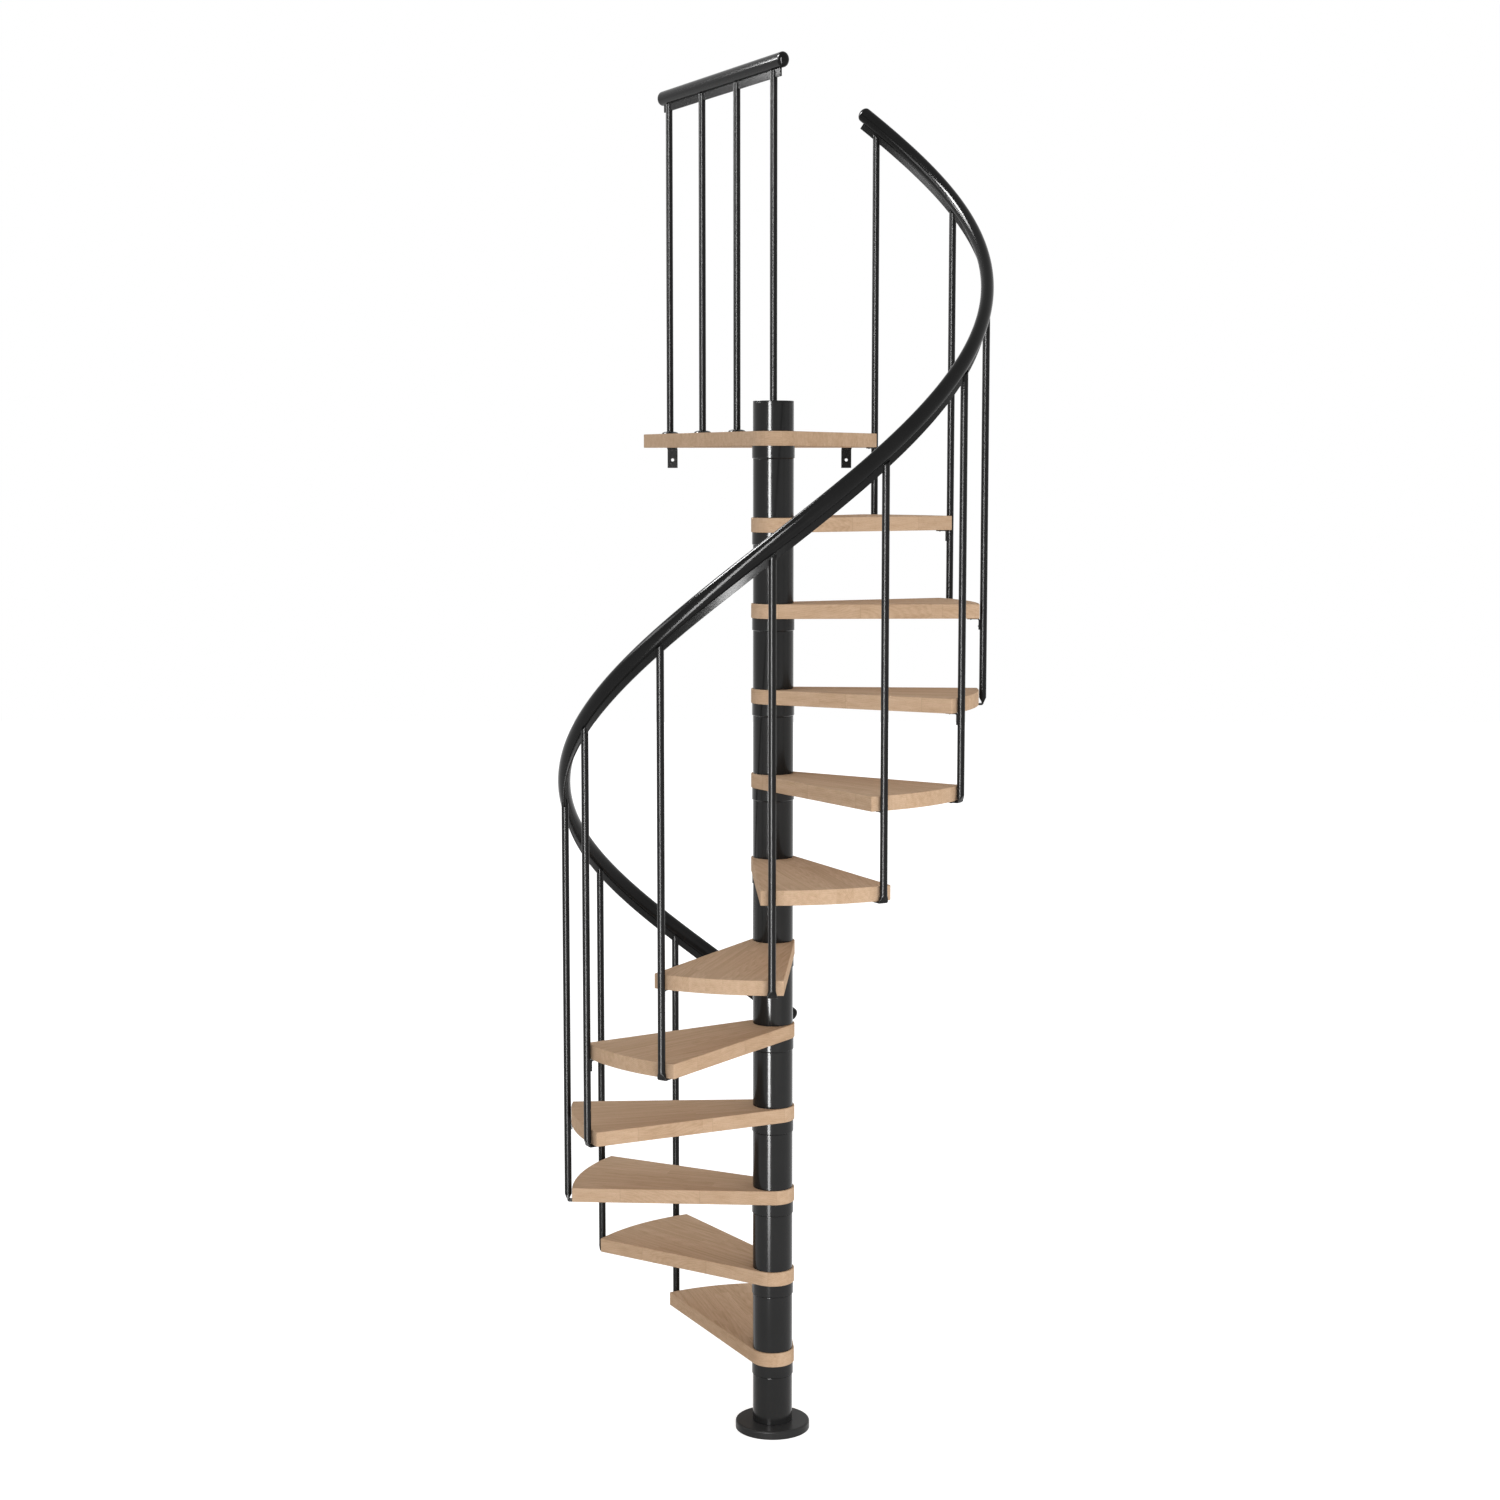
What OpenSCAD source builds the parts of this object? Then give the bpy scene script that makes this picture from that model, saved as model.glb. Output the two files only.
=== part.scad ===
// Modular spiral staircase: a stacked centre column carries wedge-shaped wooden treads
// and a landing, with one slim baluster per tread under a helical handrail.
// Millimetres, +Z up. The origin is the centre of the floor flange's underside, and the
// landing's exit edge faces +Y. The stair climbs anticlockwise seen from above.

/* [Stair] */
// Number of rises from the floor to the landing
rises = 12; // [10:1:13]
// Height of one rise
rise = 235; // [190:1:240]
// Turn from one tread to the next, in degrees
step_angle = 29.87; // [27:0.01:30]
// Direction of the first tread, in degrees from +X
first_angle = 105.5; // [90:0.5:120]

/* [Column] */
// Outer diameter of the spacer tubes
column_d = 112; // [90:1:118]
// Diameter of the collar under each tread
collar_d = 117; // [112:1:121]
// Height of the collar under each tread
collar_h = 35; // [15:1:60]
// Chamfer on the collar's lower edge
collar_chamfer = 2.5; // [0.5:0.5:6]
// Diameter of the floor flange
flange_d = 210; // [160:1:320]
// Thickness of the floor flange
flange_t = 23; // [10:1:40]
// Rounding of the flange's upper edge
flange_round = 5; // [1:0.5:8]
// Height of the column above the landing
stub_h = 78; // [40:1:160]
// Thickness of the cap on the column
cap_t = 4; // [2:0.5:12]
// Rounding of the cap's edge
cap_round = 1.5; // [0.5:0.25:1.75]

/* [Treads] */
// Outer radius of the treads
tread_r = 566; // [480:1:780]
// Thickness of the treads and the landing
tread_t = 40; // [30:1:50]
// Half of a tread's angle at its outer edge, in degrees
tread_half_angle = 18; // [17:0.1:24]
// Radius of the treads' rounded hub end
hub_r = 61; // [61:1:80]

/* [Landing] */
// Distance from the column's axis to the exit edge
landing_depth = 660; // [640:1:820]
// Turn from the landing's front corner to the last baluster, in degrees
landing_front_turn = 1.4; // [1.2:0.1:4]
// Turn from the last baluster to the landing's side edge, in degrees
landing_side_turn = 6; // [4:0.1:8]
// Direction of the railing along the landing's open edge, in degrees from +X
landing_rail_angle = 116; // [110:0.5:122]
// Distance between the two wall brackets
wall_bracket_spacing = 520; // [300:1:600]
// Width of a wall bracket
wall_bracket_w = 30; // [20:1:50]
// Height of a wall bracket's upright leg
wall_bracket_h = 60; // [45:1:90]
// Length of a wall bracket's level leg
wall_bracket_leg = 40; // [25:1:80]
// Thickness of a wall bracket
wall_bracket_t = 4; // [3:0.5:8]
// Diameter of the bolt hole in a wall bracket
wall_hole_d = 9; // [6:0.5:14]
// Depth of the bolt hole below the landing
wall_hole_drop = 36; // [20:1:36]

/* [Balusters] */
// Diameter of a baluster
baluster_d = 20; // [16:0.5:26]
// Gap between a baluster and the edge of the wood
baluster_gap = 2; // [0.5:0.5:4]
// Height of a spiral baluster's fork above its tread
baluster_h = 1088; // [900:1:1100]
// Height above the tread's underside at which the tube starts to flatten
foot_h = 16; // [14:1:36]
// Width of the flattened foot
foot_w = 26; // [24:1:40]
// Thickness of the flattened foot
foot_t = 5; // [3:0.5:6]
// Outer radius of the bend at the foot
foot_bend_r = 7; // [6.5:0.5:10]
// Length of the foot under the tread
foot_reach = 36; // [20:1:60]
// Width of a tread bracket
tread_bracket_w = 7; // [5:1:26]
// Height of a tread bracket's upright leg
tread_bracket_h = 32; // [24:1:50]
// Length of a tread bracket's level leg
tread_bracket_leg = 35; // [20:1:50]
// Thickness of a tread bracket
tread_bracket_t = 3.5; // [2:0.5:5]
// Distance from the landing's exit edge to its last baluster
landing_post_inset = 29; // [27:1:90]
// Number of balusters that stand on the landing
landing_posts = 3; // [2:1:3]
// Diameter of a baluster's rosette
rosette_d = 50; // [36:1:60]
// Thickness of a baluster's rosette
rosette_t = 8; // [3:0.5:12]
// Height of the upright rim below a rosette's rounding
rosette_rim = 1; // [0.5:0.5:2.5]

/* [Handrail] */
// Width of the oval handrail
rail_w = 35; // [28:1:50]
// Height of the oval handrail, square to its length
rail_h = 42; // [30:1:55]
// Upright height of the flat strip below the handrail
strip_h = 21; // [18:1:30]
// Thickness of the flat strip
strip_t = 5; // [3:0.5:8]
// Upright height of the strip that a baluster's fork holds
fork_grip = 16; // [8:1:17]
// Gap around the strip in a baluster's fork
fork_gap = 0.3; // [0.2:0.1:1]
// Gap between a landing baluster's fork and the oval above it
landing_fork_gap = 1; // [0.3:0.1:6]
// Turn of the handrail below the first baluster, in degrees
rail_lead_in = 36; // [5:0.5:40]
// Turn of the handrail past the last baluster, in degrees
rail_lead_out = 3.8; // [3:0.1:12]
// Length of the domes that close the rails' ends
rail_dome = 16; // [6:1:20]
// Height of the landing rail's centre above the landing
landing_rail_h = 984; // [850:1:1100]
// Length of the landing rail past the baluster on the column
landing_rail_over = 54; // [30:1:90]
// Length of the landing rail past its last baluster
landing_rail_exit = 42; // [30:1:90]
// Length of both rails past the ends of their strips
strip_inset = 10; // [2:1:15]

/* [Hidden] */
$fn = 96;
arc_step = 3;
cut_over = 1;
hull_sides = 32;
steel = [0.20, 0.20, 0.20];
rail_black = [0.16, 0.16, 0.16];
oak = [0.76, 0.62, 0.50];

treads = rises - 1;
landing_top = rises * rise;
landing_low = landing_top - tread_t;
column_top = landing_top + stub_h;
post_r = tread_r + baluster_gap + baluster_d / 2;
slope = atan2(rise, post_r * step_angle * PI / 180);
// Upright distance from the slanting rail's centre to its underside
rail_half_v = rail_h / 2 / cos(slope);
strip_low = baluster_h - fork_grip;
rail_mid = strip_low + strip_h + rail_half_v;
// Height of the foot's neck above the tread's underside, and where its tab starts to round off
foot_neck = foot_bend_r - foot_t;
foot_tab_x = foot_w / 2 - foot_reach - baluster_d / 2;

rail_start = post_dir(1) - rail_lead_in;
rail_end = post_dir(treads) + rail_lead_out;
strip_turn = strip_inset * 180 / PI / post_r;
rail_step = 5;
rail_sides = 20;
dome_in = [75, 50, 25];
dome_out = [25, 50, 75];

landing_post_spacing = (landing_depth - landing_post_inset) / sin(landing_rail_angle) / landing_posts;
landing_strip_low = landing_rail_h - rail_h / 2 - strip_h;
landing_rail_reach = landing_posts * landing_post_spacing + landing_rail_exit;
hub_turn = acos(hub_r / tread_r);
landing_front = post_dir(treads) - landing_front_turn - 360;
landing_side = post_dir(treads) + landing_side_turn - 360;
landing_left_x = left_edge_x(landing_depth);
landing_right_x = landing_depth / tan(landing_side);
landing_mid_x = (landing_left_x + landing_right_x) / 2;

function tread_dir(i) = first_angle + step_angle * (i - 1);
function post_dir(i) = tread_dir(i) + step_angle / 2;
function ray(r, a) = [r * cos(a), r * sin(a)];
function arc(r, low, high) =
    let (count = ceil(abs(high - low) / arc_step))
    [for (k = [0:count]) ray(r, low + (high - low) * k / count)];
function rail_z(a) = rise * (1 + (a - post_dir(1)) / step_angle) + rail_mid;

// X of the landing's left edge, which touches the hub and runs beside the railing
function left_edge_x(y) =
    let (start = ray(hub_r, landing_rail_angle + 90))
    start[0] + (y - start[1]) / tan(landing_rail_angle);

module rounded_disc(d, h, r) {
    rotate_extrude() {
        square([d / 2 - r, h]);
        square([d / 2, h - r]);
        translate([d / 2 - r, h - r])
            intersection() {
                circle(r);
                square(r);
            }
    }
}

// Column

module base_flange() {
    color(steel) rounded_disc(flange_d, flange_t, flange_round);
}

module spacer_tubes() {
    color(steel) {
        for (i = [1:rises]) {
            low = i == 1 ? flange_t : rise * (i - 1);
            translate([0, 0, low])
                cylinder(d = column_d, h = rise * i - tread_t - collar_h - low);
        }
        translate([0, 0, landing_top]) cylinder(d = column_d, h = stub_h);
    }
}

module collar_rings() {
    color(steel)
        for (i = [1:rises])
            translate([0, 0, rise * i - tread_t - collar_h]) {
                cylinder(d1 = collar_d - 2 * collar_chamfer, d2 = collar_d, h = collar_chamfer);
                translate([0, 0, collar_chamfer])
                    cylinder(d = collar_d, h = collar_h - collar_chamfer);
            }
}

module column_cap() {
    color(steel) translate([0, 0, column_top]) rounded_disc(column_d, cap_t, cap_round);
}

// Wood

// Plan of a tread along +X: an outer arc, and two edges that touch the hub's arc
module tread_plan() {
    touch = tread_half_angle + hub_turn;
    polygon(concat(
        arc(tread_r, -tread_half_angle, tread_half_angle),
        arc(hub_r, touch, 360 - touch)
    ));
}

module tread(i) {
    color(oak)
        translate([0, 0, rise * i - tread_t])
            rotate(tread_dir(i))
                linear_extrude(tread_t) tread_plan();
}

module landing() {
    color(oak)
        translate([0, 0, landing_low])
            linear_extrude(tread_t)
                polygon(concat(
                    arc(tread_r, landing_front, landing_side),
                    [[landing_right_x, landing_depth], [landing_left_x, landing_depth]],
                    arc(hub_r, landing_rail_angle + 90, landing_front + 360 - hub_turn)
                ));
}

// Bent strip in the XZ plane: its corner at the origin, one leg along -X, one along -Z
module angle_strip(level, upright, t, w) {
    translate([0, w / 2, 0])
        rotate([90, 0, 0])
            linear_extrude(w)
                polygon(concat(
                    [[-level, 0]],
                    [for (q = arc(2 * t, 90, 0)) q - [2 * t, 2 * t]],
                    [[0, -upright], [-t, -upright]],
                    [for (q = arc(t, 0, 90)) q - [2 * t, 2 * t]],
                    [[-level, -t]]
                ));
}

module landing_brackets() {
    color(steel)
        for (side = [-1, 1])
            translate([landing_mid_x + side * wall_bracket_spacing / 2, landing_depth, landing_low])
                difference() {
                    rotate(90) angle_strip(wall_bracket_leg, wall_bracket_h, wall_bracket_t, wall_bracket_w);
                    translate([0, cut_over, -wall_hole_drop])
                        rotate([90, 0, 0])
                            cylinder(d = wall_hole_d, h = wall_bracket_t + 2 * cut_over);
                }
}

// Balusters

// What is cut from a tube's end at the strip's lower edge: a slot, and all above the grip
module fork_cut(cut_slope, grip) {
    reach = baluster_d * 4;
    rotate([cut_slope, 0, 0])
        translate([0, 0, reach / 2]) {
            translate([0, 0, -fork_gap]) cube([strip_t + 2 * fork_gap, reach, reach], true);
            translate([0, 0, grip * cos(cut_slope)]) cube(reach, true);
        }
}

// Side view of a flattened foot: its tab under the tread, and the bend up to the neck below the tube
module foot_profile() {
    centre = [foot_t / 2 - foot_bend_r, foot_neck];
    polygon(concat(
        [[foot_tab_x, 0], [foot_tab_x, -foot_t]],
        [for (q = arc(foot_bend_r, -90, 0)) q + centre],
        [[foot_t / 2, foot_neck + cut_over], [-foot_t / 2, foot_neck + cut_over]],
        [for (q = arc(foot_bend_r - foot_t, 0, -90)) q + centre]
    ));
}

// Baluster of tread i: fork at the top, flattened foot bent under the tread
module baluster(i) {
    color(steel)
        rotate(post_dir(i))
            translate([post_r, 0, rise * i]) {
                difference() {
                    translate([0, 0, foot_h - tread_t])
                        cylinder(d = baluster_d, h = baluster_h + baluster_d + tread_t - foot_h);
                    translate([0, 0, strip_low]) fork_cut(slope, fork_grip);
                }
                translate([0, 0, -tread_t]) {
                    hull() {
                        translate([0, 0, foot_h - cut_over])
                            cylinder(d = baluster_d, h = cut_over, $fn = hull_sides);
                        translate([-foot_t / 2, -foot_w / 2, foot_neck]) cube([foot_t, foot_w, cut_over]);
                    }
                    translate([0, foot_w / 2, 0]) rotate([90, 0, 0]) linear_extrude(foot_w) foot_profile();
                    translate([foot_tab_x, 0, -foot_t]) cylinder(d = foot_w, h = foot_t);
                }
            }
}

// Angle brackets that tie each baluster to the tread above its own
module tread_brackets() {
    color(steel)
        for (i = [1:treads])
            rotate(post_dir(i))
                translate([tread_r + baluster_gap, 0, rise * (i + 1) - tread_t])
                    angle_strip(tread_bracket_leg, tread_bracket_h, tread_bracket_t, tread_bracket_w);
}

// Upright of the landing railing, from the given height above the landing
module landing_post(distance, low) {
    color(steel)
        rotate(landing_rail_angle)
            translate([distance, 0, landing_top])
                difference() {
                    translate([0, 0, low]) cylinder(d = baluster_d, h = landing_rail_h - low);
                    translate([0, 0, landing_strip_low])
                        rotate(90) fork_cut(0, strip_h - landing_fork_gap);
                }
}

module landing_baluster(i) {
    landing_post(i * landing_post_spacing, rosette_t);
}

module column_baluster() {
    landing_post(0, stub_h + cap_t);
}

module rosettes() {
    color(steel)
        rotate(landing_rail_angle)
            for (i = [1:landing_posts])
                translate([i * landing_post_spacing, 0, landing_top])
                    rounded_disc(rosette_d, rosette_t, rosette_t - rosette_rim);
}

// Rails

// Frame vectors of the rising helix at an angle: outwards, along and upwards
function outward(a) = [cos(a), sin(a), 0];
function along(a) = [-sin(a) * cos(slope), cos(a) * cos(slope), sin(slope)];
function upward(a) = [sin(a) * sin(slope), -cos(a) * sin(slope), cos(slope)];
function helix(a) = [post_r * cos(a), post_r * sin(a), rail_z(a)];

// One ring of the oval rail: shifted along the helix, and shrunk where the end is domed
function rail_ring(a, shift, share) = [
    for (k = [0:rail_sides - 1])
        let (turn = 360 * k / rail_sides)
        helix(a) + shift * along(a)
            + share / 2 * (rail_w * cos(turn) * outward(a) + rail_h * sin(turn) * upward(a))
];

// The same oval across the landing rail, which runs along X
function landing_ring(x, share) = [
    for (k = [0:rail_sides - 1])
        let (turn = 360 * k / rail_sides)
        [x, -share / 2 * rail_w * cos(turn), share / 2 * rail_h * sin(turn)]
];

// One ring of the flat strip, which hangs from the oval against the given upward direction
function strip_ring(a, up) = [
    for (c = [[-1, 1], [1, 1], [1, 0], [-1, 0]])
        helix(a) + c[0] * strip_t / 2 * outward(a) - (rail_half_v + c[1] * strip_h) * up
];

// Closed skin over a row of rings with equal counts of points
module skin(rings) {
    n = len(rings[0]);
    last = len(rings) - 1;
    polyhedron(
        points = [for (ring = rings) each ring],
        faces = concat(
            [[for (k = [0:n - 1]) k]],
            [[for (k = [n - 1:-1:0]) last * n + k]],
            [for (j = [0:last - 1], k = [0:n - 1])
                let (p = j * n + k, q = j * n + (k + 1) % n) each [[p, p + n, q], [q, p + n, q + n]]]
        )
    );
}

// Even angles between two limits, about one rail step apart
function even_angles(low, high) =
    let (count = ceil((high - low) / rail_step))
    [for (j = [0:count]) low + (high - low) * j / count];

module handrail() {
    color(rail_black)
        skin(concat(
            [for (d = dome_in) rail_ring(rail_start, -rail_dome * sin(d), cos(d))],
            [for (a = even_angles(rail_start, rail_end)) rail_ring(a, 0, 1)],
            [for (d = dome_out) rail_ring(rail_end, rail_dome * sin(d), cos(d))]
        ));
}

// The strip's ends are cut square to the slope
module handrail_strip() {
    angles = even_angles(rail_start + strip_turn, rail_end - strip_turn);
    last = len(angles) - 1;
    color(steel)
        skin([
            for (k = [0:last])
                strip_ring(angles[k], k == 0 || k == last ? cos(slope) * upward(angles[k]) : [0, 0, 1])
        ]);
}

module landing_rail() {
    color(rail_black)
        rotate(landing_rail_angle)
            translate([0, 0, landing_top + landing_rail_h])
                skin(concat(
                    [for (d = dome_in) landing_ring(-landing_rail_over - rail_dome * sin(d), cos(d))],
                    [landing_ring(-landing_rail_over, 1), landing_ring(landing_rail_reach, 1)],
                    [for (d = dome_out) landing_ring(landing_rail_reach + rail_dome * sin(d), cos(d))]
                ));
}

module landing_rail_strip() {
    over = landing_rail_over - strip_inset;
    color(steel)
        rotate(landing_rail_angle)
            translate([-over, -strip_t / 2, landing_top + landing_strip_low])
                cube([landing_rail_reach - strip_inset + over, strip_t, strip_h]);
}

base_flange();
spacer_tubes();
collar_rings();
column_cap();
for (i = [1:treads]) tread(i);
landing();
landing_brackets();
for (i = [1:treads]) baluster(i);
tread_brackets();
handrail();
handrail_strip();
rosettes();
for (i = [1:landing_posts])
    landing_baluster(i);
column_baluster();
landing_rail();
landing_rail_strip();
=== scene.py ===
# %% [markdown]
# # A modular spiral staircase
# The stair comes as a kit. Steel tubes and wooden treads are stacked like beads on a rod, each tread
# turns a little further than the one below it, and a slim baluster ties every tread to the next one
# and carries the handrail. A landing with its own railing ends the climb.
#
# The measured parts are loaded first, as a frame that nothing here moves. They could be painted as
# they are, but their edges are dead sharp and their curves are cut into flats. So most of them are
# worked out again as smooth surfaces, in the same places, and each surface then stands for its part.

# %% Load the frame
from math import acos, atan2, ceil, cos, pi, radians, sin, tan

import bpy
import numpy as np
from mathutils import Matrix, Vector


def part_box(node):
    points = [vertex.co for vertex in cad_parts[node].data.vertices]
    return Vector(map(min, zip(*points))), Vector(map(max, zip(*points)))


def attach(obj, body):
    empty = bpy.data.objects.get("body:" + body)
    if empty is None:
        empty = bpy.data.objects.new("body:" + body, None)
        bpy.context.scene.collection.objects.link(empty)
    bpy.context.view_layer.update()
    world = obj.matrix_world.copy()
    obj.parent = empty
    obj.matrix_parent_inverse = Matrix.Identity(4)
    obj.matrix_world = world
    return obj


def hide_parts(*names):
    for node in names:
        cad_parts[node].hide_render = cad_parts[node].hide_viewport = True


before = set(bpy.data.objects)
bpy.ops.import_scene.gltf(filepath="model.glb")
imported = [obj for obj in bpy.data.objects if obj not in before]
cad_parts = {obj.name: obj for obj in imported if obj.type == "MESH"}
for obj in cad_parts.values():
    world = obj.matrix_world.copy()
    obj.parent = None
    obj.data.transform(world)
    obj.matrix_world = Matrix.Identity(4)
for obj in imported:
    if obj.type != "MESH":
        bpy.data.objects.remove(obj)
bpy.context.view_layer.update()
TREADS = sum(name.startswith("tread_") and name != "tread_brackets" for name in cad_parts)

# %% [markdown]
# ## Sizes that everything shares
# Most sizes can be read off the boxes of the frame's nodes, so that the looks follow the parts. A box
# doesn't say how far a tread is turned, so the two angles of the spiral are written down here.

# %% Sizes of the spiral
STEP_ANGLE = radians(29.87)
FIRST_ANGLE = radians(105.5)


def box(node):
    """Lowest corner, highest corner and size of a node of the frame, in metres."""
    low, high = (np.array(corner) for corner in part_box(node))
    return low, high, high - low


def tread_dir(i):
    """Direction of tread i: every tread turns one step further than the one below."""
    return FIRST_ANGLE + STEP_ANGLE * (i - 1)


def post_dir(i):
    """Direction of baluster i, half a step past its tread, where the next tread overlaps."""
    return tread_dir(i) + STEP_ANGLE / 2


def ray(angle):
    """Unit vector in plan: (cos, sin) of the angle."""
    return np.array([cos(angle), sin(angle)])


RISE = box("tread_2")[1][2] - box("tread_1")[1][2]
WOOD_T = box("tread_1")[2][2]
LANDING_TOP = box("landing")[1][2]
# The outer arc of tread 6 crosses the -Y axis, so its box gives the radius of all treads
TREAD_R = -box("tread_6")[0][1]
POST_D = box("landing_baluster_1")[2][0]
POST_GAP = 0.002
POST_R = TREAD_R + POST_GAP + POST_D / 2
print(f"rise {RISE * 1000:.0f} mm, tread radius {TREAD_R * 1000:.0f} mm, balusters at {POST_R * 1000:.0f} mm")

# %% [markdown]
# ## The camera
# The picture to match is square and was taken from in front of the stair, at about the height of the
# landing and looking slightly down. Placing a camera by eye takes many tries. Here its place, tilt
# and lens come from a fit to the corners of the treads, so they are simply written down.

# %% Camera
LENS_MM = 60.32
SENSOR_MM = 36.0
CAMERA_PLACE = (0.0, -6.9209, 2.7205)
CAMERA_DOWN = radians(6.406)
CAMERA_LEFT = radians(0.53)


def show(name, data):
    """New object that holds a camera, a mesh or a lamp, linked to the scene."""
    thing = bpy.data.objects.new(name, data)
    bpy.context.scene.collection.objects.link(thing)
    return thing


camera = show("camera", bpy.data.cameras.new("camera"))
camera.data.lens = LENS_MM
camera.data.sensor_width = SENSOR_MM
camera.location = CAMERA_PLACE
camera.rotation_euler = (pi / 2 - CAMERA_DOWN, 0.0, CAMERA_LEFT)
bpy.context.scene.camera = camera
bpy.context.scene.view_settings.view_transform = "Standard"
print(f"camera {-CAMERA_PLACE[1]:.2f} m in front of the column, {CAMERA_PLACE[2]:.2f} m up")

# %% [markdown]
# ## Building materials from nodes
# A material is a small graph: textures feed maths, maths feeds the shader. Adding nodes one property
# at a time fills a page, so a few helpers do it: one adds any node, one a step of arithmetic, one a
# noise, and one links the finished maths to the shader.

# %% Node helpers


def add(tree, kind, inputs=None, **settings):
    """Adds a node. A socket given as an input is linked, any other value is set on the input."""
    new = tree.nodes.new(kind)
    for key, value in settings.items():
        setattr(new, key, value)
    for key, value in (inputs or {}).items():
        if isinstance(value, bpy.types.NodeSocket):
            tree.links.new(value, new.inputs[key])
        else:
            new.inputs[key].default_value = value
    return new


def calc(tree, operation, *values):
    """Output of a Math node over the given sockets or numbers."""
    return add(tree, "ShaderNodeMath", dict(enumerate(values)), operation=operation).outputs[0]


def spread(tree, value, low, high, from_low=0.0, from_high=1.0):
    """Output of a Map Range node: value between two limits, spread between two others."""
    limits = {"From Min": from_low, "From Max": from_high, "To Min": low, "To Max": high}
    return add(tree, "ShaderNodeMapRange", {"Value": value, **limits}).outputs["Result"]


def ramp(tree, factor, stops):
    """Output of a Colour Ramp over (position, colour) stops."""
    new = add(tree, "ShaderNodeValToRGB", {0: factor})
    while len(new.color_ramp.elements) < len(stops):
        new.color_ramp.elements.new(0.5)
    for element, (position, colour) in zip(new.color_ramp.elements, stops):
        element.position = position
        element.color = (*colour, 1.0)
    return new.outputs["Color"]


def noise(tree, where, scale, detail):
    """Output of a Noise Texture: a cloud between 0 and 1 over the given place."""
    return add(tree, "ShaderNodeTexNoise", {"Vector": where, "Scale": scale, "Detail": detail}).outputs[0]


def new_material(name, gloss):
    """Material, its node tree and its Principled shader. The share of gloss is even all over."""
    material = bpy.data.materials.new(name)
    material.use_nodes = True
    shader = material.node_tree.nodes["Principled BSDF"]
    shader.inputs["Specular IOR Level"].default_value = gloss
    return material, material.node_tree, shader


def dress(tree, shader, colour, roughness, height, strength, depth):
    """Links colour, roughness and a bump to the shader. The depth of the bump is in metres."""
    bump = add(tree, "ShaderNodeBump", {"Strength": strength, "Distance": depth, "Height": height})
    tree.links.new(colour, shader.inputs["Base Color"])
    tree.links.new(roughness, shader.inputs["Roughness"])
    tree.links.new(bump.outputs["Normal"], shader.inputs["Normal"])


print("node helpers ready")

# %% [markdown]
# ## Black powder coat
# The metal is steel under baked powder paint: a satin black skin with a very fine orange peel. A flat
# black would look like a hole in the picture. So a millimetre-fine noise moves the bump and the
# roughness, and a slow cloud shifts the tone a little over each tube. The rails wear a smooth sleeve
# of the same black, so they get the same graph with other numbers.
#
# The gloss decides how much of the white room shows on a coat, most of all where it is seen at a
# slant. So each kind of part has numbers of its own: the column is the glossiest, balusters and
# strips are satin, the landing's strip and the sleeves are duller, and so is the flange. The flange's
# black is also lighter than the rest. That is painted light, which lifts the shade the treads above cast on
# it.

# %% Black finishes
CLOUD_SCALE, CLOUD_DETAIL, CLOUD_LIMITS = 9.0, 3.0, (0.3, 0.7)
COAT_PEEL, SLEEVE_PEEL, PEEL_DETAIL = 700.0, 320.0, 2.0
PEEL_STRENGTH, PEEL_DEPTH = 0.15, 0.00002


def black_finish(name, gloss, tones, roughness, peel_scale=COAT_PEEL):
    """Black finish: a slow noise moves the tone, a fine one the roughness and the bump."""
    material, tree, shader = new_material(name, gloss)
    spot = add(tree, "ShaderNodeTexCoord").outputs["Object"]
    cloud = noise(tree, spot, CLOUD_SCALE, CLOUD_DETAIL)
    peel = noise(tree, spot, peel_scale, PEEL_DETAIL)
    colour = ramp(tree, cloud, [(limit, (tone, tone, tone)) for limit, tone in zip(CLOUD_LIMITS, tones)])
    dress(tree, shader, colour, spread(tree, peel, *roughness), peel, PEEL_STRENGTH, PEEL_DEPTH)
    return material


powder_coat = black_finish("powder_coat", gloss=0.16, tones=(0.0160, 0.0190), roughness=(0.12, 0.18))
# The flange's tones are lighter than the other blacks: painted light against the shade that the treads above
# cast on it
flange_painted_light_coat = black_finish("flange_painted_light_coat", gloss=0.06, tones=(0.0330, 0.0370), roughness=(0.30, 0.40))
strip_coat = black_finish("strip_coat", gloss=0.10, tones=(0.0110, 0.0140), roughness=(0.20, 0.28))
tube_coat = black_finish("tube_coat", gloss=0.12, tones=(0.0070, 0.0090), roughness=(0.26, 0.34))
dull_coat = black_finish("dull_coat", gloss=0.045, tones=(0.0110, 0.0140), roughness=(0.20, 0.28))
rail_sleeve = black_finish("rail_sleeve", gloss=0.06, tones=(0.0115, 0.0140), roughness=(0.12, 0.17),
                           peel_scale=SLEEVE_PEEL)
finishes = (powder_coat, flange_painted_light_coat, strip_coat, tube_coat, dull_coat, rail_sleeve)
print("black finishes:", [finish.name for finish in finishes])

# %% [markdown]
# ## Edge-glued oak
# Treads and landing are sawn from panels of oak staves, glued edge to edge and butted end to end. A
# picture of such a panel would stretch over the edges. So the oak here is solid: every point of a
# board carries its own coordinates along, across and through the panel, in metres, and the pattern
# is worked out from those three numbers. End grain, long grain and faces then agree by themselves.

# %% Staves of a panel
STAVE_W = 0.046
STAVE_L = 0.40


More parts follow.
